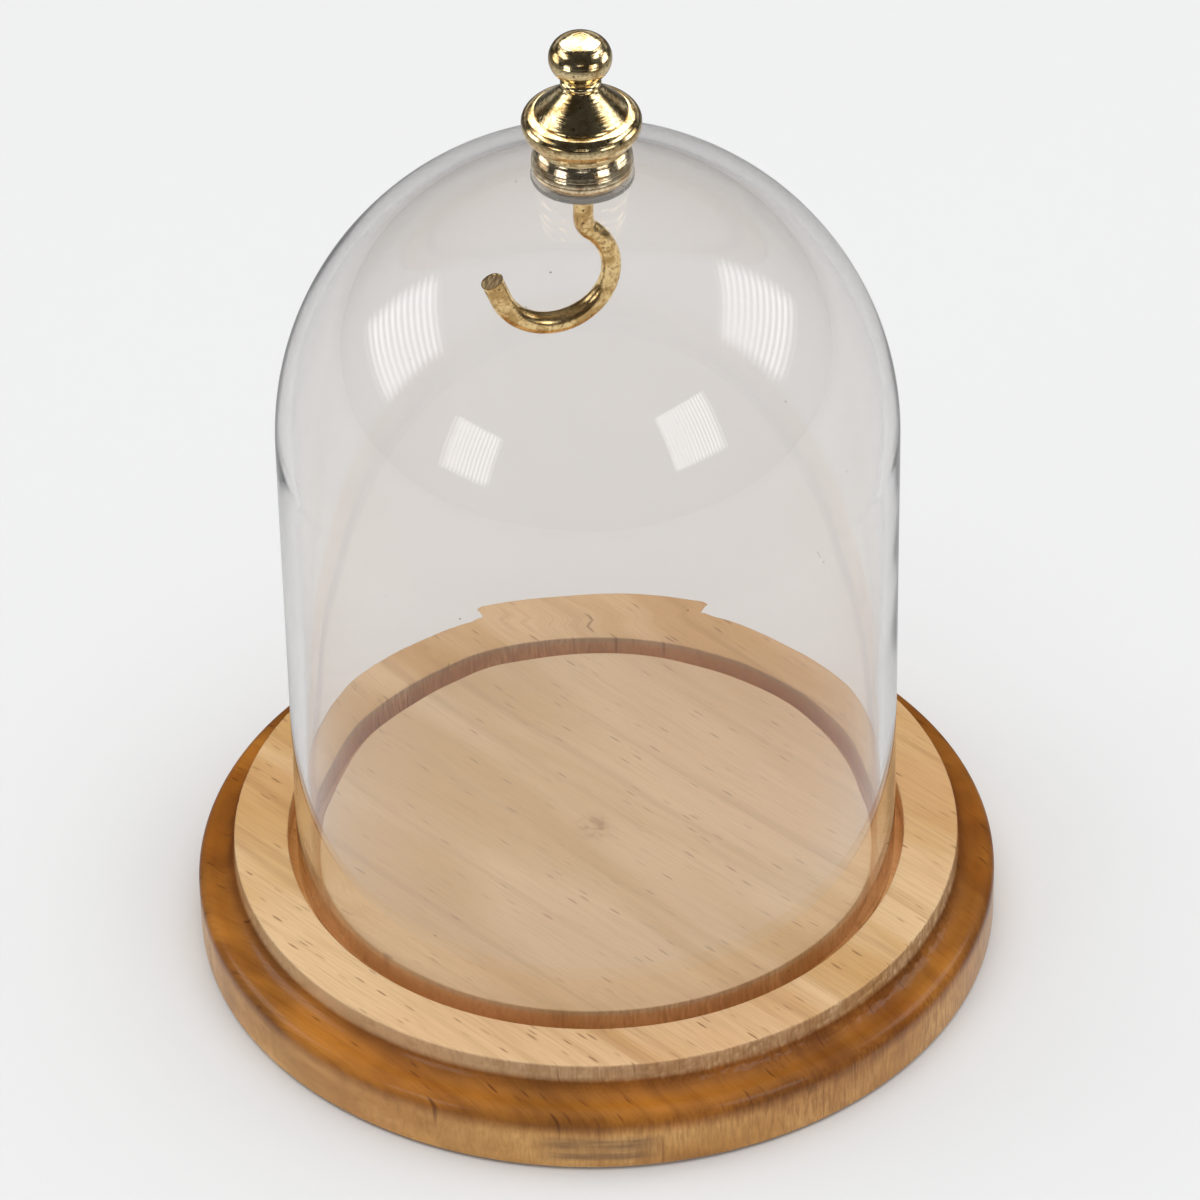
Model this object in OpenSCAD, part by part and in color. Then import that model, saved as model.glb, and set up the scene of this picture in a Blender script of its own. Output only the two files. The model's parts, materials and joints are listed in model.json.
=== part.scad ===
// Bell jar display dome: a turned wooden base with a ring groove, a round-topped glass dome that
// stands in the groove, and a brass knob on top whose stem carries a hanging hook inside the glass.
// Z is up. The origin is the centre of the underside, on the surface that the base stands on.

/* [Wooden base] */
// Diameter of the turned base
base_d = 101.6; // [98:0.2:108]
// Thickness of the wood
base_h = 12.7; // [12:0.1:16]
// Diameter of the flat top inside the cove
flat_d = 92.1; // [90:0.1:94]
// Radius of the hollow cove below the flat top
cove_r = 2.7; // [2:0.1:3]
// Radius of the rounded shoulder above the upright side
shoulder_r = 2; // [1:0.1:2.5]
// Outer diameter of the groove that takes the glass
groove_outer_d = 78.4; // [77.4:0.1:80]
// Inner diameter of the groove
groove_inner_d = 70.4; // [68:0.1:71]
// Depth of the groove
groove_depth = 3.5; // [2:0.1:5]

/* [Felt pad] */
// Diameter of the felt disc under the base
felt_d = 90; // [60:1:92]
// Thickness of the felt
felt_t = 1.3; // [1:0.1:2]
// How far the felt stands below the wood
felt_proud = 0.3; // [0.1:0.1:0.6]

/* [Glass dome] */
// Outside diameter of the glass
glass_d = 76.2; // [74:0.1:77]
// Wall thickness of the glass
glass_wall = 2; // [1.5:0.1:2.5]
// Height of the glass from its rim to its crown
glass_h = 104; // [90:0.5:130]
// Diameter of the hole in the crown
crown_hole_d = 5; // [4:0.1:6]

/* [Washers] */
// Diameter of the clear washer's flange on top of the glass
washer_d = 12.4; // [11:0.1:13]
// Thickness of that flange
washer_t = 0.65; // [0.5:0.05:1]
// Diameter of the small washer under the crown
inner_washer_d = 6.4; // [6:0.1:8]
// Thickness of the small washer
inner_washer_t = 0.6; // [0.4:0.1:1]

/* [Brass collar] */
// Largest diameter of the collar
collar_d = 12.2; // [11:0.1:13]
// Height of the collar
collar_h = 4; // [3:0.1:5]

/* [Brass finial] */
// Largest diameter of the finial's rounded flange
flange_d = 14.34; // [13:0.02:15]
// Diameter of the cone's lower edge
cone_d = 11.16; // [10:0.02:11.6]
// Largest diameter of the knob
knob_d = 7.56; // [7:0.02:8.4]
// Height of the knob
knob_h = 5.4; // [5:0.1:6]

/* [Hook] */
// Diameter of the hook's wire
wire_d = 2.6; // [2.4:0.1:3]
// Diameter of the hook's shank just under its shoulder
shank_d = 2.4; // [2.2:0.1:2.8]
// Diameter of the threaded stem above the hook's shoulder
stem_d = 2; // [1.8:0.1:2.2]
// Centre-line radius of the hook's big bend
hook_r = 7; // [6:0.1:8]
// Centre-line radius of the small bend below the shank
neck_bend_r = 2.2; // [2:0.1:4]
// Angle that the hook's plane is turned from the X axis
hook_turn = 15; // [0:1:90]

/* [Hidden] */
$fn = 96;

beech = [0.80, 0.62, 0.42];
felt_green = [0.16, 0.25, 0.19];
clear_glass = [0.85, 0.88, 0.88, 0.3];
clear_plastic = [0.9, 0.9, 0.88, 0.5];
brass = [0.78, 0.62, 0.30];

// Gaps that let one piece seat or turn on another
seat_gap = 0.02;
turn_gap = 0.05;
thread_gap = 0.03;

// Heights of the base
wood_z = felt_proud;
top_z = wood_z + base_h;
groove_z = top_z - groove_depth;
lip_z = 1.55;
side_z = top_z - lip_z - cove_r - shoulder_r;

// Heights and radii of the glass
glass_r = glass_d / 2;
bore_r = glass_r - glass_wall;
rim_z = groove_z + seat_gap;
crown_z = rim_z + glass_h;
dome_z = crown_z - glass_r;
hole_r = crown_hole_d / 2;

// Heights of what sits on the crown
flange_z = dome_z + sqrt(glass_r ^ 2 - hole_r ^ 2) + seat_gap;
collar_z = flange_z + washer_t + turn_gap;
finial_z = collar_z + collar_h;

// Heights of what sits under the crown
inner_washer_top = dome_z + sqrt(bore_r ^ 2 - (inner_washer_d / 2) ^ 2) - seat_gap;
shoulder_z = inner_washer_top - inner_washer_t - turn_gap;

stem_r = stem_d / 2;
washer_bore_r = stem_r + turn_gap;
thread_bore_r = stem_r + thread_gap;
stem_reach = 3.6;
thread_depth = 4.2;

// The hook's bends, in its own plane: across it from the shank, and up
bend_angle = 50;
hook_sweep = 210;
tip_length = 2.9;
end_swell = 0.1;
shank_z = shoulder_z - 4;
join_x = neck_bend_r * (1 - cos(bend_angle));
join_z = shank_z - neck_bend_r * sin(bend_angle);

// Points along an arc about (cx, cz), elliptical where rz is given
function arc(cx, cz, r, from, to, rz = 0, steps = 12) =
    [for (i = [0 : steps])
        let (a = from + (to - from) * i / steps)
        [cx + r * cos(a), cz + (rz == 0 ? r : rz) * sin(a)]];

module base_outline() {
    shoulder_x = base_d / 2 - shoulder_r;
    cove_z = side_z + shoulder_r + cove_r;
    cove_x = flat_d / 2 + cove_r;
    edge = 0.3;
    polygon(concat(
        [[0, wood_z], [base_d / 2 - edge, wood_z], [base_d / 2, wood_z + edge]],
        arc(shoulder_x, side_z, shoulder_r, 0, 90),
        arc(cove_x, cove_z, cove_r, 270, 180),
        arc(flat_d / 2 - edge, top_z - edge, edge, 0, 90, steps = 4),
        [[0, top_z]]
    ));
}

module wooden_base() {
    groove_w = (groove_outer_d - groove_inner_d) / 2;
    recess = felt_t - felt_proud;
    color(beech)
    rotate_extrude()
    difference() {
        base_outline();
        translate([groove_inner_d / 2, groove_z]) square([groove_w, base_h]);
        translate([0, wood_z - base_h]) square([felt_d / 2 + seat_gap, base_h + recess]);
    }
}

module felt_pad() {
    color(felt_green)
    cylinder(d = felt_d, h = felt_t);
}

module dome_shell() {
    intersection() {
        difference() {
            circle(glass_r);
            circle(bore_r);
        }
        translate([hole_r, 0]) square([glass_d, glass_d]);
    }
}

module glass_dome() {
    rim_r = glass_wall / 2;
    straight_z = rim_z + rim_r;
    color(clear_glass)
    rotate_extrude() {
        translate([0, dome_z]) dome_shell();
        translate([bore_r, straight_z]) square([glass_wall, dome_z - straight_z]);
        polygon(arc(bore_r + rim_r, straight_z, rim_r, 180, 360));
    }
}

module shoulder_washer() {
    spigot_l = 1.6;
    color(clear_plastic)
    difference() {
        union() {
            translate([0, 0, flange_z]) cylinder(d = washer_d, h = washer_t);
            translate([0, 0, flange_z - spigot_l]) cylinder(r = hole_r - turn_gap, h = spigot_l);
        }
        translate([0, 0, flange_z - 2 * spigot_l]) cylinder(r = washer_bore_r, h = 4 * spigot_l);
    }
}

module inner_washer() {
    color(clear_plastic)
    translate([0, 0, inner_washer_top - inner_washer_t])
    difference() {
        cylinder(d = inner_washer_d, h = inner_washer_t);
        translate([0, 0, -inner_washer_t]) cylinder(r = washer_bore_r, h = 3 * inner_washer_t);
    }
}

module brass_collar() {
    roll_r = 1.4;
    roll_z = 1.2;
    flank_r = 6;
    clearance_r = 1.4;
    color(brass)
    translate([0, 0, collar_z])
    rotate_extrude()
    polygon(concat(
        [[clearance_r, 0]],
        arc(collar_d / 2 - roll_r, roll_z, roll_r, -asin(roll_z / roll_r), 0, steps = 8),
        arc(collar_d / 2 - flank_r, roll_z, flank_r, 2, asin((collar_h - roll_z) / flank_r), steps = 8),
        [[clearance_r, collar_h]]
    ));
}

// The finial's outline, from its seat on the collar up to the crown of the knob
module finial_outline() {
    flange_r = flange_d / 2;
    flange_mid = 3.05;
    under_r = 2.45;
    over_r = 1.45;
    waist_r = 5.5;
    step_h = 0.3;
    cone_z = flange_mid + over_r + step_h;
    neck_r = 2.25;
    neck_z = 7.9;
    bead_r = 0.65;
    bead_z = neck_z + 0.15 + bead_r;
    bead_x = 2.45 - bead_r;
    knob_z = bead_z + bead_r + knob_h / 2;
    knob_x = (knob_d - knob_h) / 2;
    polygon(concat(
        [[0, 0], [waist_r, 0]],
        arc(flange_r - under_r, flange_mid, under_r, -70, 0),
        arc(flange_r - over_r, flange_mid, over_r, 6, 88),
        [[cone_d / 2, flange_mid + over_r], [cone_d / 2, cone_z]],
        [[neck_r, neck_z]],
        arc(bead_x, bead_z, bead_r, -60, 60, steps = 8),
        arc(knob_x, knob_z, knob_h / 2, -66, 90, steps = 20),
        [[0, knob_z + knob_h / 2]]
    ));
}

module finial() {
    color(brass)
    translate([0, 0, finial_z])
    difference() {
        rotate_extrude() finial_outline();
        translate([0, 0, -1]) cylinder(r = thread_bore_r, h = thread_depth + 1);
    }
}

// A length of wire that leaves the origin upwards and bends round the point (-r, 0, 0)
module wire_bend(r, sweep) {
    translate([-r, 0, 0])
    rotate([90, 0, 0])
    rotate_extrude(angle = sweep)
    translate([r, 0]) circle(d = wire_d, $fn = 48);
}

// A straight end of the wire, a little swollen where it takes in the last of the bend before it
module wire_end(length, end_d = wire_d + end_swell) {
    translate([0, 0, -end_swell])
    cylinder(d1 = wire_d + end_swell, d2 = end_d, h = length + end_swell);
}

module hook() {
    stem_top = finial_z + stem_reach;
    color(brass)
    rotate([0, 0, hook_turn]) {
        translate([0, 0, shoulder_z - stem_r]) cylinder(r = stem_r, h = stem_top - shoulder_z + stem_r);
        translate([0, 0, shank_z]) wire_end(shoulder_z - shank_z, shank_d);
        translate([join_x, 0, join_z])
        rotate([0, -bend_angle, 0]) {
            mirror([1, 0, 0]) wire_bend(neck_bend_r, bend_angle);
            mirror([0, 0, 1]) wire_bend(hook_r, hook_sweep);
            translate([hook_r * (cos(hook_sweep) - 1), 0, -hook_r * sin(hook_sweep)])
            rotate([0, hook_sweep - 180, 0]) wire_end(tip_length);
        }
    }
}

wooden_base();
felt_pad();
glass_dome();
shoulder_washer();
inner_washer();
brass_collar();
finial();
hook();
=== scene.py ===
"""The looks of a small bell jar dome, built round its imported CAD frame."""

import json
import math

import bmesh
import bpy
import numpy as np
from mathutils import Matrix, Vector, noise

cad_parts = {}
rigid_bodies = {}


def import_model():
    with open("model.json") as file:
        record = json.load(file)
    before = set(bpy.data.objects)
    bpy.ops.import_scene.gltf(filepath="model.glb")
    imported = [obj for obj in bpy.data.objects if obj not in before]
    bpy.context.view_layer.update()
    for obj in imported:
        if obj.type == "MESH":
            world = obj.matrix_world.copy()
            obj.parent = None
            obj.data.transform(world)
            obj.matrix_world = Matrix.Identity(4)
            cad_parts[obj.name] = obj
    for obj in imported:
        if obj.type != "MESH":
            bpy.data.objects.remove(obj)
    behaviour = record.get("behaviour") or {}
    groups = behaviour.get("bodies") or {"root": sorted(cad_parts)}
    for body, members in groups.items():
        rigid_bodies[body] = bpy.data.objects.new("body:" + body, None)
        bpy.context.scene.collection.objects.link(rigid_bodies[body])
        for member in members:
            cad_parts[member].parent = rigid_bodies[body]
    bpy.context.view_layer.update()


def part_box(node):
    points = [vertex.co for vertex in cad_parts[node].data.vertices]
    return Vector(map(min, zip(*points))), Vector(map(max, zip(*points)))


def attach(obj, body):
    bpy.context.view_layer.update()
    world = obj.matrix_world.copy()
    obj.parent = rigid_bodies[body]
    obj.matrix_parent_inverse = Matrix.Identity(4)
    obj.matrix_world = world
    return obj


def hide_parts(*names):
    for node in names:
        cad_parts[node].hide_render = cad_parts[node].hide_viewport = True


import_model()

MM = 0.001


# ---------------------------------------------------------------- outlines and meshes


def arc(cx, cz, radius, start, end, steps):
    """Points along an arc of an outline, in mm, between two angles in degrees."""
    angles = np.radians(np.linspace(start, end, steps + 1))
    return [(cx + radius * math.cos(a), cz + radius * math.sin(a)) for a in angles]


def filled(points, step):
    """The same outline with extra points, so that no stretch is longer than step."""
    out = [points[0]]
    for a, b in zip(points, points[1:]):
        pieces = max(1, math.ceil(math.dist(a, b) / step))
        for i in range(1, pieces + 1):
            out.append((a[0] + (b[0] - a[0]) * i / pieces, a[1] + (b[1] - a[1]) * i / pieces))
    return out


def finish_mesh(name, rings, closed, sharp):
    """Skins a stack of rings, given as an array of rings x sides x 3 in mm, and shades it smooth."""
    count, sides, _ = rings.shape
    index = np.arange(count * sides).reshape(count, sides)
    if closed:
        index = np.vstack([index, index[:1]])
    low = index[:-1]
    high = index[1:]
    faces = np.stack([low, np.roll(low, -1, 1), np.roll(high, -1, 1), high], -1).reshape(-1, 4)
    mesh = bpy.data.meshes.new(name)
    mesh.from_pydata((rings.reshape(-1, 3) * MM).tolist(), [], faces.tolist())
    work = bmesh.new()
    work.from_mesh(mesh)
    bmesh.ops.remove_doubles(work, verts=work.verts, dist=2e-7)
    bmesh.ops.recalc_face_normals(work, faces=work.faces)
    work.to_mesh(mesh)
    work.free()
    mesh.shade_smooth()
    mesh.set_sharp_from_angle(angle=math.radians(sharp))
    piece = bpy.data.objects.new(name, mesh)
    bpy.context.scene.collection.objects.link(piece)
    return piece


def lathe(name, outline, turns, closed=False, shape=None, sharp=35):
    """Turns an outline of (radius, height) points round the Z axis. shape(r, z, angle) may move them."""
    points = np.array(outline)
    angle = np.linspace(0, 2 * math.pi, turns, endpoint=False)[None, :]
    r = np.repeat(points[:, :1], turns, 1)
    z = np.repeat(points[:, 1:], turns, 1)
    if shape:
        r, z = shape(r, z, np.repeat(angle, len(points), 0))
    rings = np.stack([r * np.cos(angle), r * np.sin(angle), z], -1)
    return finish_mesh(name, rings, closed, sharp)


def wobble(r, z, angle, scale, seed):
    """Smooth noise from -1 to 1 over a round surface, with a grain of scale mm."""
    points = np.stack([r * np.cos(angle), r * np.sin(angle), z], -1).reshape(-1, 3) / scale
    offset = Vector((seed * 7.3, seed * 3.1, seed * 5.7))
    values = [noise.noise(Vector(p) + offset) for p in points]
    return np.array(values).reshape(r.shape)


# ---------------------------------------------------------------- material nodes


class Graph:
    """A material's node tree, built up node by node."""

    def __init__(self, name):
        self.material = bpy.data.materials.new(name)
        self.material.use_nodes = True
        self.tree = self.material.node_tree
        self.tree.nodes.clear()
        self.output = self.tree.nodes.new("ShaderNodeOutputMaterial")

    def put(self, socket, value):
        """Sets a socket to a value, or links it when the value is another node's output."""
        if isinstance(value, bpy.types.NodeSocket):
            self.tree.links.new(value, socket)
        else:
            socket.default_value = value

    def node(self, kind, inputs=None, **settings):
        node = self.tree.nodes.new("ShaderNode" + kind)
        for key, value in settings.items():
            setattr(node, key, value)
        for key, value in (inputs or {}).items():
            self.put(node.inputs[key], value)
        return node

    def math(self, operation, a, b=0.0):
        return self.node("Math", {0: a, 1: b}, operation=operation).outputs[0]

    def coordinates(self, scale=(1, 1, 1), turn=0.0):
        """Places on the piece, in metres times scale, turned round Z by an angle in degrees."""
        place = self.node("TexCoord").outputs["Object"]
        turned = self.node("Mapping", {"Vector": place, "Rotation": (0, 0, math.radians(turn))})
        return self.node("Mapping", {"Vector": turned.outputs[0], "Scale": scale}).outputs[0]

    def noise(self, vector, scale=1.0, detail=3.0, roughness=0.5, distortion=0.0):
        inputs = {
            "Vector": vector,
            "Scale": scale,
            "Detail": detail,
            "Roughness": roughness,
            "Distortion": distortion,
        }
        return self.node("TexNoise", inputs).outputs[0]

    def span(self, value, low, high, to_low=0.0, to_high=1.0):
        """Maps low..high to to_low..to_high, softly, and holds it there outside."""
        inputs = {0: value, 1: low, 2: high, 3: to_low, 4: to_high}
        return self.node("MapRange", inputs, interpolation_type="SMOOTHSTEP").outputs[0]

    def mix(self, factor, a, b, blend="MIX"):
        node = self.node("Mix", {0: factor, 6: a, 7: b}, data_type="RGBA", blend_type=blend)
        return node.outputs[2]

    def bump(self, height, distance, normal=None):
        inputs = {"Height": height, "Distance": distance, "Strength": 1.0}
        if normal is not None:
            inputs["Normal"] = normal
        return self.node("Bump", inputs).outputs[0]

    def radius(self):
        """Distance from the Z axis, in metres."""
        flat = self.coordinates((1, 1, 0))
        return self.node("VectorMath", {0: flat}, operation="LENGTH").outputs["Value"]

    def height(self):
        return self.node("SeparateXYZ", {0: self.coordinates()}).outputs[2]

    def surface(self, shader):
        self.tree.links.new(shader, self.output.inputs["Surface"])
        return self.material


# ---------------------------------------------------------------- materials

GRAIN_TURN = 45

# Places on the base, in metres, where the wood's colour changes
PLATFORM_R = 0.0352
GROOVE_OUT_R = 0.0392
FLAT_R = 0.0461


def beech_wood():
    """Oiled beech: soft bands, short dark ray flecks, end grain where the grain meets the edge, painted
    shade in the cove and groove, painted light on the side and a painted veil under the glass.
    """
    g = Graph("beech_wood")
    bands = g.noise(g.coordinates((14, 75, 70), GRAIN_TURN), detail=2.0, distortion=0.6)
    rings = g.noise(g.coordinates((7, 420, 90), GRAIN_TURN), detail=3.0)
    fibre = g.noise(g.coordinates((150, 5200, 900), GRAIN_TURN), detail=2.0)
    blush = g.noise(g.coordinates((22, 40, 40), GRAIN_TURN), detail=2.0)

    colour = g.mix(g.span(bands, 0.38, 0.60), (0.55, 0.322, 0.124, 1), (0.70, 0.475, 0.262, 1))
    colour = g.mix(g.span(blush, 0.45, 0.75, 0.0, 0.5), colour, (0.64, 0.36, 0.190, 1))
    colour = g.mix(g.span(rings, 0.50, 0.70, 0.0, 0.45), colour, (0.40, 0.215, 0.080, 1))
    colour = g.mix(g.span(fibre, 0.4, 0.75, 0.0, 0.28), colour, (0.32, 0.170, 0.070, 1))

    cells = g.node("TexVoronoi", {"Vector": g.coordinates((210, 1400, 60), GRAIN_TURN), "Scale": 1.0})
    chance = g.node("SeparateColor", {0: cells.outputs["Color"]})
    near = g.span(cells.outputs["Distance"], 0.12, 0.26, 1.0, 0.0)
    present = g.span(chance.outputs[0], 0.42, 0.50)
    fleck = g.math("MULTIPLY", near, present)
    fleck = g.math("MULTIPLY", fleck, g.span(chance.outputs[1], 0.0, 1.0, 0.25, 0.75))
    colour = g.mix(fleck, colour, (0.22, 0.100, 0.038, 1))

    normal = g.node("TexCoord").outputs["Normal"]
    along = g.node("Mapping", {"Vector": normal, "Rotation": (0, 0, math.radians(GRAIN_TURN))})
    along = g.math("ABSOLUTE", g.node("SeparateXYZ", {0: along.outputs[0]}).outputs[0])
    end_grain = g.span(along, 0.35, 0.95)
    pores = g.noise(g.coordinates((2600, 2600, 420)), detail=3.0)
    end_grain = g.math("MULTIPLY", end_grain, g.span(pores, 0.35, 0.7, 0.15, 0.75))
    colour = g.mix(end_grain, colour, (0.36, 0.19, 0.075, 1))

    radius = g.radius()
    height = g.height()
    # Outside the flat top (cove, shoulder and side) the wood is multiplied by a darker amber tone: partly a
    # real darker stain on the turned edge, partly painted shade for the dimmer light there.
    edge = g.span(radius, FLAT_R - 0.0002, FLAT_R + 0.0002)
    amber = g.noise(g.coordinates((60, 60, 160)), detail=3.0)
    edge_stain_and_painted_light = g.mix(g.span(amber, 0.3, 0.7), (0.32, 0.165, 0.030, 1), (0.66, 0.37, 0.070, 1))
    # Painted light: below the shoulder the side gets a lighter tone, standing in for the light that falls
    # on it.
    side_painted_light = g.mix(g.span(amber, 0.3, 0.7), (0.76, 0.55, 0.26, 1), (1.05, 0.88, 0.54, 1))
    edge_stain_and_painted_light = g.mix(g.span(height, 0.0072, 0.0050), edge_stain_and_painted_light, side_painted_light)
    # Painted shade: the cove, a recess under the flat top's lip, is darkened further.
    cove_painted_shade = g.mix(1.0, edge_stain_and_painted_light, (0.72, 0.66, 0.55, 1), "MULTIPLY")
    edge_stain_and_painted_light = g.mix(g.span(height, 0.0086, 0.0102), edge_stain_and_painted_light, cove_painted_shade)
    colour = g.mix(edge, colour, g.mix(1.0, colour, edge_stain_and_painted_light, "MULTIPLY"))
    # Painted reflection: the disc under the glass is made paler and pinker, a painted veil of the glass's
    # reflection that also makes up for the light the glass takes away.
    under_glass_painted_veil = g.span(radius, PLATFORM_R + 0.0001, PLATFORM_R - 0.0002, 0.0, 0.30)
    colour = g.mix(under_glass_painted_veil, colour, (0.90, 0.70, 0.50, 1))
    # Painted shade: inside the groove's outer wall and below its top edge (the groove's walls and floor,
    # and the hidden underside) the wood gets a darker, more amber tint.
    in_groove = g.span(height, 0.0128, 0.0118)
    between = g.span(radius, GROOVE_OUT_R + 0.0008, GROOVE_OUT_R)
    groove = g.math("MULTIPLY", in_groove, between)
    colour = g.mix(groove, colour, g.mix(1.0, colour, (1.15, 0.90, 0.66, 1), "MULTIPLY"))

    stain = stain_mask(g, height)
    colour = g.mix(stain, colour, (0.17, 0.085, 0.038, 1))
    centre = g.span(radius, 0.0036, 0.0008)
    smudge = g.noise(g.coordinates((700, 700, 700)), detail=3.0)
    centre = g.math("MULTIPLY", centre, g.span(smudge, 0.4, 0.7, 0.1, 0.55))
    colour = g.mix(centre, colour, (0.30, 0.17, 0.08, 1))

    height_map = g.math("ADD", g.math("MULTIPLY", fibre, 0.5), g.math("MULTIPLY", near, -0.35))
    height_map = g.math("ADD", height_map, g.math("MULTIPLY", turned_lines(g, 2600), edge))
    bumped = g.bump(height_map, 0.00003)
    shader = g.node("BsdfPrincipled", {
        "Base Color": colour,
        "Roughness": g.span(bands, 0.3, 0.7, 0.36, 0.5),
        "Normal": bumped,
        "Specular IOR Level": 0.25,
        "Coat Weight": 0.35,
        "Coat Roughness": 0.14,
    })
    return g.surface(shader.outputs[0])


def stain_mask(g, height):
    """A dark streaky patch low on the front of the base's side."""
    place = g.node("SeparateXYZ", {0: g.coordinates()})
    across = g.math("ABSOLUTE", g.math("ADD", place.outputs[0], 0.0003))
    front = g.span(place.outputs[1], -0.045, -0.0485)
    patch = g.math("MULTIPLY", g.span(across, 0.0090, 0.0040), front)
    low = g.math("MULTIPLY", g.span(height, 0.0012, 0.0022), g.span(height, 0.0058, 0.0046))
    streaks = g.noise(g.coordinates((90, 90, 900)), detail=2.0)
    patch = g.math("MULTIPLY", patch, low)
    return g.math("MULTIPLY", patch, g.span(streaks, 0.30, 0.65, 0.30, 0.80))


def turned_lines(g, per_metre):
    """Fine lines left by turning, the same all the way round."""
    flat = g.node("CombineXYZ", {0: g.radius(), 1: g.height()})
    return g.noise(flat.outputs[0], scale=per_metre, detail=2.0)


def felt():
    """Pressed green felt."""
    g = Graph("felt")
    fuzz = g.noise(g.coordinates((2600, 2600, 2600)), detail=5.0, roughness=0.7)
    clumps = g.noise(g.coordinates((180, 180, 180)), detail=3.0)
    colour = g.mix(g.span(fuzz, 0.3, 0.7), (0.016, 0.052, 0.030, 1), (0.045, 0.115, 0.070, 1))
    colour = g.mix(g.span(clumps, 0.4, 0.7, 0.0, 0.4), colour, (0.060, 0.130, 0.085, 1))
    shader = g.node("BsdfPrincipled", {
        "Base Color": colour,
        "Roughness": 0.95,
        "Normal": g.bump(fuzz, 0.00025),
        "Sheen Weight": 0.5,
        "Sheen Roughness": 0.5,
    })
    return g.surface(shader.outputs[0])


def see_through(g, shadow, inputs):
    """Finishes a clear material: it refracts, and lets most of the light through its shadow."""
    principled = g.node("BsdfPrincipled", inputs)
    through = g.node("BsdfTransparent", {"Color": shadow})
    shadow_ray = g.node("LightPath").outputs["Is Shadow Ray"]
    mixed = g.node("MixShader", {0: shadow_ray, 1: principled.outputs[0], 2: through.outputs[0]})
    return g.surface(mixed.outputs[0])


def clear_glass():
    """Blown glass with a faint warm grey body, light smears and a few tiny specks."""
    g = Graph("clear_glass")
    specks = g.node("TexVoronoi", {"Vector": g.coordinates((260, 260, 260)), "Scale": 1.0})
    chance = g.node("SeparateColor", {0: specks.outputs["Color"]})
    speck = g.math("MULTIPLY", g.span(specks.outputs["Distance"], 0.02, 0.05, 1.0, 0.0),
                   g.span(chance.outputs[0], 0.90, 0.93))
    smears = g.noise(g.coordinates((45, 45, 20)), detail=4.0)
    return see_through(g, (0.95, 0.95, 0.94, 1), {
        "Base Color": g.mix(speck, (0.925, 0.910, 0.898, 1), (0.24, 0.22, 0.20, 1)),
        "Roughness": g.span(smears, 0.55, 0.85, 0.0, 0.004),
        "IOR": 1.5,
        "Transmission Weight": 1.0,
    })


def clear_plastic():
    """Clear moulded plastic gone a little milky."""
    g = Graph("clear_plastic")
    haze = g.noise(g.coordinates((500, 500, 500)), detail=3.0)
    return see_through(g, (0.9, 0.9, 0.9, 1), {
        "Base Color": g.mix(haze, (0.88, 0.86, 0.82, 1), (0.78, 0.75, 0.70, 1)),
        "Roughness": g.span(haze, 0.4, 0.7, 0.14, 0.30),
        "IOR": 1.46,
        "Transmission Weight": 0.8,
    })


def brass(name, bright, dull, lines_depth, pit_depth):
    """Polished brass with turning lines, a grainy worn face, small pits and brown tarnish."""
    g = Graph(name)
    tarnish = g.noise(g.coordinates((420, 420, 420)), detail=5.0, roughness=0.65)
    grain = g.noise(g.coordinates((2400, 2400, 2400)), detail=3.0, roughness=0.6)
    spots = g.node("TexVoronoi", {"Vector": g.coordinates((1300, 1300, 1300)), "Scale": 1.0})
    chance = g.node("SeparateColor", {0: spots.outputs["Color"]})
    spot = g.math("MULTIPLY", g.span(spots.outputs["Distance"], 0.12, 0.32, 1.0, 0.0),
                  g.span(chance.outputs[0], 0.74, 0.82))
    colour = g.mix(g.span(tarnish, 0.44, 0.62), bright, dull)
    colour = g.mix(g.span(grain, 0.48, 0.68, 0.0, 0.6), colour, (0.30, 0.165, 0.065, 1))
    colour = g.mix(g.math("MULTIPLY", spot, 0.8), colour, (0.13, 0.075, 0.035, 1))
    pits = g.noise(g.coordinates((1700, 1700, 1700)), detail=4.0, roughness=0.6)
    lines = turned_lines(g, 2300)
    normal = g.bump(lines, lines_depth)
    normal = g.bump(g.math("SUBTRACT", pits, spot), pit_depth, normal)
    shader = g.node("BsdfPrincipled", {
        "Base Color": colour,
        "Metallic": 1.0,
        "Roughness": g.span(grain, 0.35, 0.7, 0.10, 0.26),
        "Normal": normal,
    })
    return g.surface(shader.outputs[0])


def sawn_brass():
    """The dull, scratched face where the wire was cut off."""
    g = Graph("sawn_brass")
    kerf = g.noise(g.coordinates((5200, 900, 900), 25), detail=4.0)
    colour = g.mix(g.span(kerf, 0.35, 0.7), (0.24, 0.16, 0.08, 1), (0.55, 0.42, 0.24, 1))
    shader = g.node("BsdfPrincipled", {
        "Base Color": colour,
        "Metallic": 1.0,
        "Roughness": g.span(kerf, 0.3, 0.7, 0.42, 0.65),
        "Normal": g.bump(kerf, 0.00006),
    })
    return g.surface(shader.outputs[0])


# ---------------------------------------------------------------- the wooden base and its felt


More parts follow.
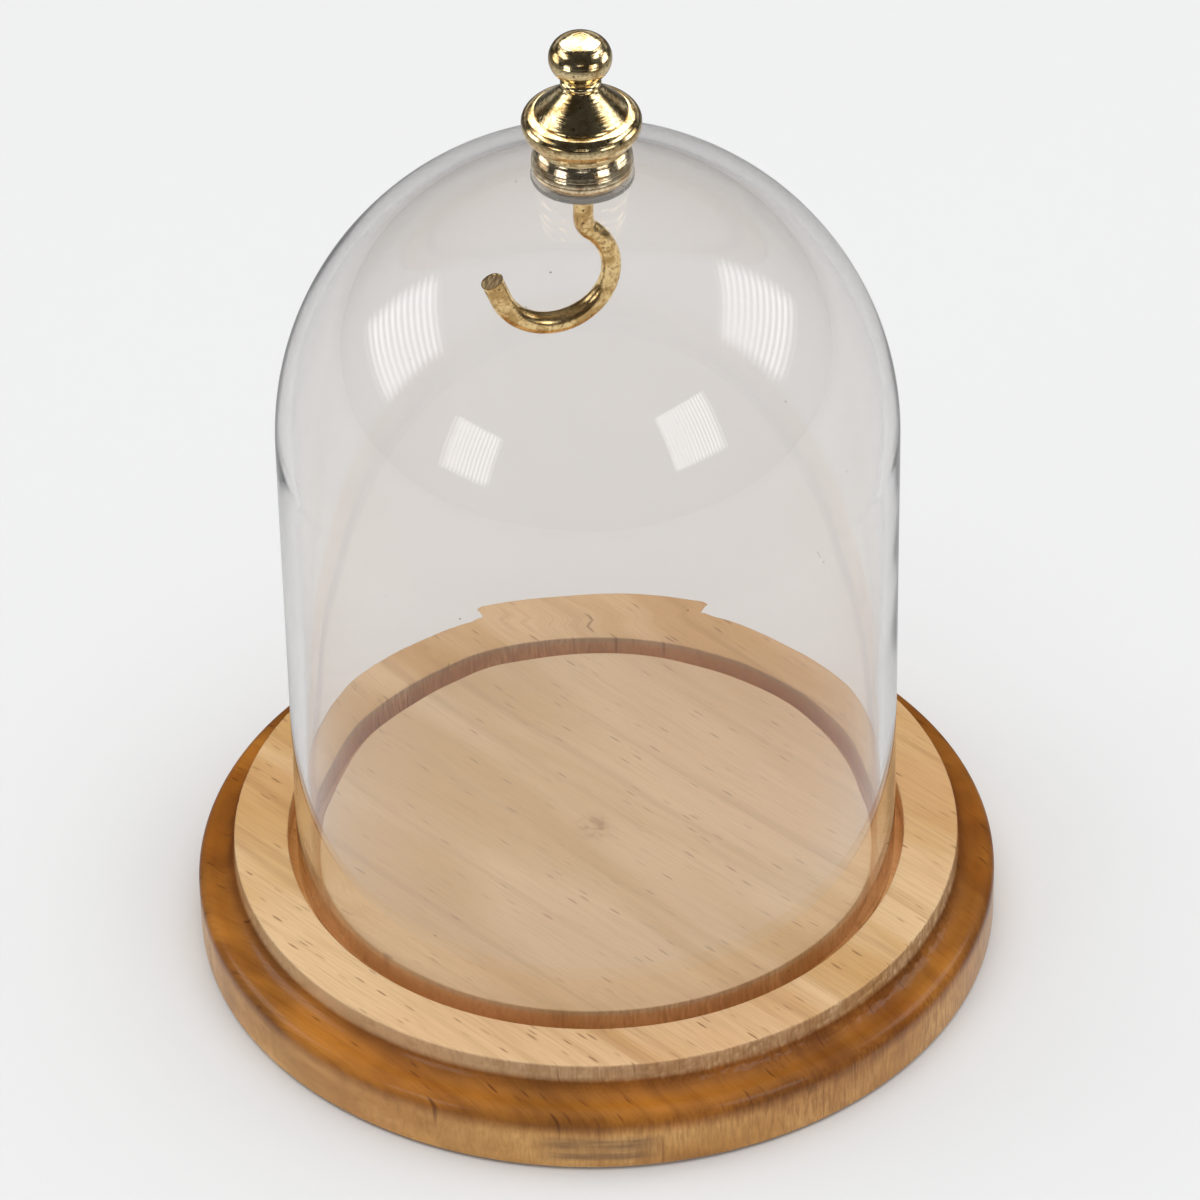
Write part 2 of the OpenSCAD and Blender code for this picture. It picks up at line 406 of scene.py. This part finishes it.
def build_base():
    low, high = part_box("wooden_base")
    rim_r = high.x / MM
    wood_z = low.z / MM
    top_z = high.z / MM
    pad_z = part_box("felt_pad")[1].z / MM
    groove_z = top_z - 3.5
    groove_in, groove_out = 35.2, 39.2
    shoulder_z = 6.75
    cove_x, cove_z, cove_r = rim_r - 2.05, shoulder_z + 4.7, 2.7
    lip_r = cove_x - cove_r
    edge = 0.3
    soft = 0.18
    outline = filled([(0, pad_z), (45.02, pad_z), (45.02, wood_z), (rim_r - edge, wood_z)], 6.0)
    outline += filled([(rim_r, wood_z + edge), (rim_r, shoulder_z)], 0.5)
    outline += arc(rim_r - 2.0, shoulder_z, 2.0, 0, 90, 14)[1:]
    outline += arc(cove_x, cove_z, cove_r, 270, 180, 24)
    outline += filled([(lip_r, cove_z), (lip_r, top_z - edge)], 0.25)[1:]
    outline += arc(lip_r - edge, top_z - edge, edge, 0, 90, 5)[1:]
    outline += filled([(lip_r - edge, top_z), (groove_out + soft, top_z)], 0.6)[1:]
    outline += arc(groove_out + soft, top_z - soft, soft, 90, 180, 4)[1:]
    outline += filled([(groove_out, top_z - soft), (groove_out, groove_z)], 0.4)[1:]
    outline += filled([(groove_out, groove_z), (groove_in, groove_z)], 0.8)[1:]
    outline += filled([(groove_in, groove_z), (groove_in, top_z - soft)], 0.4)[1:]
    outline += arc(groove_in - soft, top_z - soft, soft, 0, 90, 4)[1:]
    outline += filled([(groove_in - soft, top_z), (1.2, top_z)], 1.0)[1:]
    outline += [(0.8, top_z - 0.10), (0.35, top_z - 0.28), (0, top_z - 0.42)]

    def torn(r, z, angle):
        """Torn end grain in the cove, and faint turning unevenness, always inwards."""
        in_cove = np.clip((r - lip_r + 0.4) / 0.4, 0, 1) * np.clip((rim_r - 1.4 - r) / 0.8, 0, 1)
        in_cove = in_cove * (z > shoulder_z + 1.2) * (z < top_z + 0.1)
        across_end = np.abs(np.cos(angle + math.radians(45))) ** 3
        rough = np.maximum(0, wobble(r, z * 0.7, angle, 0.55, 1) - 0.12)
        return r - in_cove * (0.06 + 0.34 * across_end) * rough, z

    base = lathe("turned_base", outline, 600, shape=torn, sharp=38)
    base.data.materials.append(beech_wood())
    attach(base, "base")
    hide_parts("wooden_base")


def build_felt():
    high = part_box("felt_pad")[1]
    pad_r = high.x / MM
    top = high.z / MM
    soft = 0.25
    outline = filled([(0, top), (pad_r - soft, top)], 2.0)
    outline += arc(pad_r - soft, top - soft, soft, 90, 0, 4)[1:]
    outline += arc(pad_r - soft, soft, soft, 0, -90, 4)
    outline += filled([(pad_r - soft, 0), (0, 0)], 1.2)[1:]

    def nap(r, z, angle):
        """Slight lumps on the underside, always inwards."""
        lumps = 0.04 * (1 + wobble(r, z, angle, 2.4, 4))
        return r, np.where(z < 0.2, z + lumps, z)

    pad = lathe("felt_disc", outline, 180, shape=nap)
    pad.data.materials.append(felt())
    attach(pad, "base")
    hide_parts("felt_pad")
    return pad, pad_r


# ---------------------------------------------------------------- the glass and its washers


def build_glass():
    low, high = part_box("glass_dome")
    outer = high.x / MM
    wall = 2.0
    inner = outer - wall
    rim_z = low.z / MM
    # The CAD crown is cut by the stem's hole, so the full sphere's centre comes from the rim and the height
    hole = 2.5
    centre_z = high.z / MM - math.sqrt(outer ** 2 - hole ** 2)
    outline = arc(outer - wall / 2, rim_z + wall / 2, wall / 2, -180, 0, 12)
    outline += filled([(outer, rim_z + wall / 2), (outer, centre_z)], 1.2)[1:]
    outline += arc(0, centre_z, outer, 0, math.degrees(math.acos(hole / outer)), 90)[1:]
    outline += arc(0, centre_z, inner, math.degrees(math.acos(hole / inner)), 0, 90)
    outline += filled([(inner, centre_z), (inner, rim_z + wall / 2)], 1.2)[1:-1]

    def blown(r, z, angle):
        """Slow waves in both faces of the glass, always into the wall."""
        away = np.clip((z - rim_z) / 6, 0, 1) * np.clip((r - hole) / 8, 0, 1)
        long_wave = 0.5 + 0.5 * wobble(r, z, angle, 17, 2)
        short_wave = 0.5 + 0.5 * wobble(r, z, angle, 7, 3)
        side = np.where(np.hypot(r, np.maximum(0, z - centre_z)) > (outer + inner) / 2, -1.0, 1.0)
        return r + side * away * (0.05 * long_wave + 0.008 * short_wave), z

    glass = lathe("glass_bell", outline, 320, closed=True, shape=blown, sharp=50)
    glass.data.materials.append(clear_glass())
    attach(glass, "dome")
    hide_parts("glass_dome")


def build_washers():
    plastic = clear_plastic()
    low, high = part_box("shoulder_washer")
    top = high.z / MM
    flange_r = high.x / MM
    spigot_z = low.z / MM
    flange_z = top - 0.65
    bore = 1.05
    soft = 0.12
    outline = [(bore, spigot_z), (2.35, spigot_z), (2.45, spigot_z + 0.1), (2.45, flange_z)]
    outline += [(flange_r - soft, flange_z)]
    outline += arc(flange_r - soft, flange_z + soft, soft, -90, 0, 3)[1:]
    outline += arc(flange_r - soft, top - soft, soft, 0, 90, 3)
    outline += [(bore + soft, top), (bore, top - soft)]
    upper = lathe("upper_washer", outline, 160, closed=True)
    upper.data.materials.append(plastic)
    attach(upper, "dome")
    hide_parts("shoulder_washer")

    low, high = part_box("inner_washer")
    top = high.z / MM
    bottom = low.z / MM
    edge_r = high.x / MM
    outline = [(bore, bottom), (edge_r - soft, bottom)]
    outline += arc(edge_r - soft, bottom + soft, soft, -90, 0, 3)[1:]
    outline += arc(edge_r - soft, top - soft, soft, 0, 90, 3)
    outline += [(bore, top)]
    lower = lathe("lower_washer", outline, 128, closed=True)
    lower.data.materials.append(plastic)
    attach(lower, "dome")
    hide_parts("inner_washer")


# ---------------------------------------------------------------- the brass knob and hook


def build_collar():
    low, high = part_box("brass_collar")
    z = low.z / MM
    top = (high.z - low.z) / MM
    widest = high.x / MM
    bore = 1.4
    roll_r, roll_z, flank_r = 1.4, 1.2, 6.0
    start = -math.degrees(math.asin(roll_z / roll_r))
    finish = math.degrees(math.asin((top - roll_z) / flank_r))
    outline = [(bore, 0), (widest - roll_r + roll_r * math.cos(math.radians(start)) - 0.4, 0)]
    outline += arc(widest - roll_r, roll_z, roll_r, start, 0, 20)
    outline += arc(widest - flank_r, roll_z, flank_r, 1, finish, 20)
    outline += [(bore, top)]
    outline = [(r, z + h) for r, h in outline]
    collar = lathe("turned_collar", outline, 256, closed=True)
    collar.data.materials.append(
        brass("collar_brass", (0.96, 0.82, 0.56, 1), (0.62, 0.45, 0.25, 1), 0.00009, 0.00002))
    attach(collar, "knob")
    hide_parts("brass_collar")


def build_finial():
    low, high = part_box("finial")
    z = low.z / MM
    flange_r = high.x / MM
    bore, bore_depth = 1.03, 4.2
    mid = 3.05
    cone_r, cone_z = 5.58, 4.8
    knob_r, knob_flat, knob_z = 2.7, 1.08, 12.05
    outline = [(0, bore_depth), (bore, bore_depth), (bore, 0), (5.5, 0)]
    outline += arc(flange_r - 2.45, mid, 2.45, -70, 0, 24)
    outline += arc(flange_r - 1.45, mid, 1.45, 4, 88, 22)
    outline += [(cone_r + 0.04, 4.5), (cone_r, 4.56), (cone_r, cone_z - 0.06), (cone_r - 0.06, cone_z)]
    outline += filled([(cone_r - 0.06, cone_z), (2.25, 7.9)], 0.5)[1:]
    outline += arc(1.8, 8.7, 0.65, -60, 60, 14)
    outline += arc(knob_flat, knob_z, knob_r, -66, 90, 44)
    outline += [(0, knob_z + knob_r)]
    outline = [(r, z + h) for r, h in outline]
    finial = lathe("turned_finial", outline, 256)
    finial.data.materials.append(
        brass("polished_brass", (0.95, 0.77, 0.43, 1), (0.56, 0.38, 0.16, 1), 0.00004, 0.000012))
    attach(finial, "knob")
    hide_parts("finial")


def hook_path():
    """The hook's centre line from the stem's top to its sawn end: (across, up, heading, radius) in mm."""
    stem_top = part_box("hook")[1].z / MM
    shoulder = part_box("inner_washer")[0].z / MM - 0.05
    shank_end = shoulder - 4.0
    neck_r, hook_r = 2.2, 7.0
    bend, sweep = math.radians(50), math.radians(210)
    stem_r, shank_r, arm_r, bow_r = 1.0, 1.2, 1.2, 1.34
    pitch = 0.4
    rings = []
    for z in np.arange(stem_top, shoulder, -pitch / 8):
        thread = 0.0 if z > stem_top - 0.3 else 0.09
        rings.append((0, z, 0, stem_r - thread, pitch if thread else 0))
    for r in (stem_r - 0.09, shank_r - 0.08):
        rings.append((0, shoulder, 0, r, 0))
    for z in np.linspace(shoulder - 0.08, shank_end, 24):
        rings.append((0, z, 0, shank_r, 0))
    for t in np.linspace(0, bend, 25)[1:]:
        rings.append((neck_r * (1 - math.cos(t)), shank_end - neck_r * math.sin(t), t, shank_r, 0))
    joint_x, joint_z = rings[-1][:2]
    mid_x = joint_x - hook_r * math.cos(bend)
    mid_z = joint_z - hook_r * math.sin(bend)
    for t in np.linspace(0, sweep, 150)[1:]:
        place = bend - t
        swell = min(1.0, max(0.0, (t / sweep - 0.30) / 0.30))
        radius = arm_r + (bow_r - arm_r) * swell
        rings.append((mid_x + hook_r * math.cos(place), mid_z + hook_r * math.sin(place), place, radius, 0))
    end_x, end_z, heading = rings[-1][:3]
    out_x, out_z = math.sin(heading), -math.cos(heading)
    for s in np.linspace(0, 2.9, 18)[1:]:
        rings.append((end_x + s * out_x, end_z + s * out_z, heading, bow_r + 0.02 * s / 2.9, 0))
    tip_x, tip_z = rings[-1][:2]
    for inset, back in ((0.0, -0.06), (0.10, -0.03), (0.14, 0.02), (0.6, 0.0), (bow_r - 0.3, 0.02)):
        rings.append((tip_x - back * out_x, tip_z - back * out_z, heading, bow_r + 0.04 - inset, 0))
    rings.append((tip_x, tip_z, heading, 0.0, 0))
    return rings


def build_hook():
    sides = 56
    turn = Matrix.Rotation(math.radians(15), 3, "Z")
    across = turn @ Vector((1, 0, 0))
    beside = turn @ Vector((0, 1, 0))
    angle = np.linspace(0, 2 * math.pi, sides, endpoint=False)
    rings = []
    for x, z, heading, radius, pitch in hook_path():
        centre = across * x + Vector((0, 0, z))
        outward = across * math.cos(heading) + Vector((0, 0, math.sin(heading)))
        r = np.full(sides, radius)
        if pitch:
            r = r + 0.09 * np.abs(((z / pitch - angle / (2 * math.pi)) % 1.0) * 2 - 1)
        ring = np.array(centre) + r[:, None] * (
            np.cos(angle)[:, None] * np.array(outward) + np.sin(angle)[:, None] * np.array(beside))
        rings.append(ring)
    rings.insert(0, np.repeat(rings[0].mean(0)[None], sides, 0))
    hook = finish_mesh("wire_hook", np.array(rings), False, 32)
    hook.data.materials.append(
        brass("hook_brass", (1.0, 0.77, 0.38, 1), (0.62, 0.41, 0.16, 1), 0.00001, 0.00003))
    hook.data.materials.append(sawn_brass())
    faces = len(hook.data.polygons)
    for face in hook.data.polygons:
        if face.index >= faces - 3 * sides:
            face.material_index = 1
    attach(hook, "knob")
    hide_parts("hook")


# ---------------------------------------------------------------- studio


def floor():
    """A plain pale floor. Reflections don't show it, because its edge would draw an oval in the glass."""
    g = Graph("studio_floor")
    tone = g.noise(g.coordinates((0.8, 0.8, 0.8)), detail=2.0)
    shader = g.node("BsdfPrincipled", {
        "Base Color": g.mix(tone, (0.680, 0.682, 0.685, 1), (0.695, 0.697, 0.700, 1)),
        "Roughness": 0.85,
        "Specular IOR Level": 0.1,
    })
    floor_r = 8.0
    angle = np.linspace(0, 2 * math.pi, 96, endpoint=False)
    edge = np.stack([np.cos(angle), np.sin(angle), 0 * angle], -1) * floor_r / MM
    ground = finish_mesh("studio_floor", np.array([0 * edge, edge]), False, 60)
    ground.data.materials.append(g.surface(shader.outputs[0]))
    ground.visible_glossy = False


def world():
    """A dim room, paler below, that gives surfaces an even soft light."""
    studio = bpy.data.worlds.new("studio")
    studio.use_nodes = True
    studio.cycles.sampling_method = "NONE"
    tree = studio.node_tree
    tree.nodes.clear()

    def span(value, low, high, to_low, to_high):
        node = tree.nodes.new("ShaderNodeMapRange")
        node.interpolation_type = "SMOOTHSTEP"
        for socket, number in zip(node.inputs[1:5], (low, high, to_low, to_high)):
            if isinstance(number, float):
                socket.default_value = number
            else:
                tree.links.new(number, socket)
        tree.links.new(value, node.inputs[0])
        return node.outputs[0]

    direction = tree.nodes.new("ShaderNodeSeparateXYZ")
    tree.links.new(tree.nodes.new("ShaderNodeTexCoord").outputs["Generated"], direction.inputs[0])
    room = span(direction.outputs[2], -0.90, -0.10, 0.90, 0.05)
    bounced = tree.nodes.new("ShaderNodeLightPath").outputs["Diffuse Depth"]
    background = tree.nodes.new("ShaderNodeBackground")
    tree.links.new(span(bounced, 0.0, 1.0, room, 0.62), background.inputs["Strength"])
    output = tree.nodes.new("ShaderNodeOutputWorld")
    tree.links.new(background.outputs[0], output.inputs["Surface"])
    bpy.context.scene.world = studio


def pattern(light, feather, stripes, across):
    """Fades a lamp towards its edges over a share of its size, and bands it with stripes along one axis."""
    light.use_nodes = True
    tree = light.node_tree
    place = tree.nodes.new("ShaderNodeNewGeometry")
    split = tree.nodes.new("ShaderNodeSeparateXYZ")
    tree.links.new(place.outputs["Parametric"], split.inputs[0])
    parts = [(0, 0.5, feather, 0.0, 1.0), (1, 0.5, feather, 0.0, 1.0)]
    if stripes:
        parts.append((across, 0.5 / stripes, 0.5 / stripes, 0.45, 1.5))
    strength = None
    for axis, fold, reach, dark, bright in parts:
        folded = tree.nodes.new("ShaderNodeMath")
        folded.operation = "PINGPONG"
        folded.inputs[1].default_value = fold
        tree.links.new(split.outputs[axis], folded.inputs[0])
        level = tree.nodes.new("ShaderNodeMapRange")
        level.interpolation_type = "SMOOTHSTEP"
        level.inputs["From Max"].default_value = reach
        level.inputs["To Min"].default_value = dark
        level.inputs["To Max"].default_value = bright
        tree.links.new(folded.outputs[0], level.inputs["Value"])
        if strength is None:
            strength = level.outputs[0]
        else:
            product = tree.nodes.new("ShaderNodeMath")
            product.operation = "MULTIPLY"
            tree.links.new(strength, product.inputs[0])
            tree.links.new(level.outputs[0], product.inputs[1])
            strength = product.outputs[0]
    tree.links.new(strength, tree.nodes["Emission"].inputs["Strength"])


def softbox(name, azimuth, elevation, width, height, radiance, lit, feather=0.03, stripes=0, across=0):
    """A window of light for the pieces in lit. Angles are in degrees, the azimuth from +Y towards +X."""
    distance = 1.5
    az = math.radians(azimuth)
    el = math.radians(elevation)
    away = Vector((math.cos(el) * math.sin(az), math.cos(el) * math.cos(az), math.sin(el)))
    light = bpy.data.lights.new(name, "AREA")
    light.shape = "RECTANGLE"
    light.size = 2 * distance * math.tan(math.radians(width / 2))
    light.size_y = 2 * distance * math.tan(math.radians(height / 2))
    light.energy = 4 * radiance * light.size * light.size_y
    pattern(light, feather, stripes, across)
    lamp = bpy.data.objects.new(name, light)
    lamp.location = Vector((0, 0, 0.09)) + away * distance
    lamp.rotation_mode = "QUATERNION"
    lamp.rotation_quaternion = away.to_track_quat("Z", "Y")
    lamp.visible_camera = False
    lamp.light_linking.receiver_collection = lit
    bpy.context.scene.collection.objects.link(lamp)
    return lamp


def lights():
    """Soft windows of light, with a set of their own for the brass pieces and two more for the hook."""
    brass_pieces = bpy.data.collections.new("brass_pieces")
    other_pieces = bpy.data.collections.new("other_pieces")
    hook_only = bpy.data.collections.new("hook_only")
    brass_names = ("turned_collar", "turned_finial", "wire_hook")
    for piece in bpy.context.scene.objects:
        if piece.type == "MESH":
            lit = brass_pieces if piece.name in brass_names else other_pieces
            lit.objects.link(piece)
    hook_only.objects.link(bpy.data.objects["wire_hook"])
    softbox("upper_left", -79, 27, 33, 30, 1.5, feather=0.14, stripes=13, across=1, lit=other_pieces)
    softbox("upper_right", 77, 31, 34, 30, 1.45, feather=0.14, stripes=13, across=1, lit=other_pieces)
    softbox("lower_left", -133, 20, 20, 19, 1.7, feather=0.06, stripes=13, lit=other_pieces)
    softbox("lower_right", 136, 27, 22, 22, 1.7, feather=0.06, stripes=16, lit=other_pieces)
    fill = softbox("fill", 0, 90, 90, 90, 1.40, feather=0.3, lit=other_pieces)
    fill.visible_glossy = False
    fill.visible_transmission = False

    softbox("brass_high_back", 0, 57, 80, 50, 2.9, feather=0.06, lit=brass_pieces)
    softbox("brass_cone_left", -92, 36, 52, 24, 2.2, feather=0.25, lit=brass_pieces)
    softbox("brass_cone_right", 92, 36, 52, 24, 2.2, feather=0.25, lit=brass_pieces)
    softbox("brass_left", -82, 4, 34, 24, 2.6, feather=0.20, lit=brass_pieces)
    softbox("brass_right", 82, 2, 34, 26, 2.6, feather=0.20, lit=brass_pieces)
    softbox("brass_low_left", -133, -3, 20, 16, 3.6, lit=brass_pieces)
    softbox("brass_low_right", 134, 0, 24, 20, 3.6, lit=brass_pieces)
    softbox("brass_back", 0, 10, 120, 26, 0.45, feather=0.4, lit=brass_pieces)
    softbox("brass_line", 180, 22, 22, 1.6, 3.0, lit=brass_pieces)
    softbox("hook_key", -150, 58, 34, 20, 7.0, feather=0.2, lit=hook_only)
    softbox("hook_side", 70, 30, 30, 30, 4.0, feather=0.2, lit=hook_only)


def camera():
    """Above and in front of the dome, rolled a little because the real dome leans in its groove."""
    pitch = 38.5
    roll = 1.1
    lens = bpy.data.cameras.new("camera")
    lens.lens = 210
    lens.sensor_width = 36
    lens.clip_start = 0.05
    lens.clip_end = 50
    eye = bpy.data.objects.new("camera", lens)
    tilt = Matrix.Rotation(math.radians(90 - pitch), 4, "X")
    eye.matrix_world = (Matrix.Translation((0.0011, -0.680, 0.590)) @ tilt
                        @ Matrix.Rotation(math.radians(-roll), 4, "Z"))
    bpy.context.scene.collection.objects.link(eye)
    bpy.context.scene.camera = eye


# ---------------------------------------------------------------- the whole scene

build_base()
pad, pad_r = build_felt()
build_glass()
build_washers()
build_collar()
build_finial()
build_hook()

floor()
world()
lights()
camera()
bpy.context.scene.view_settings.view_transform = "Standard"
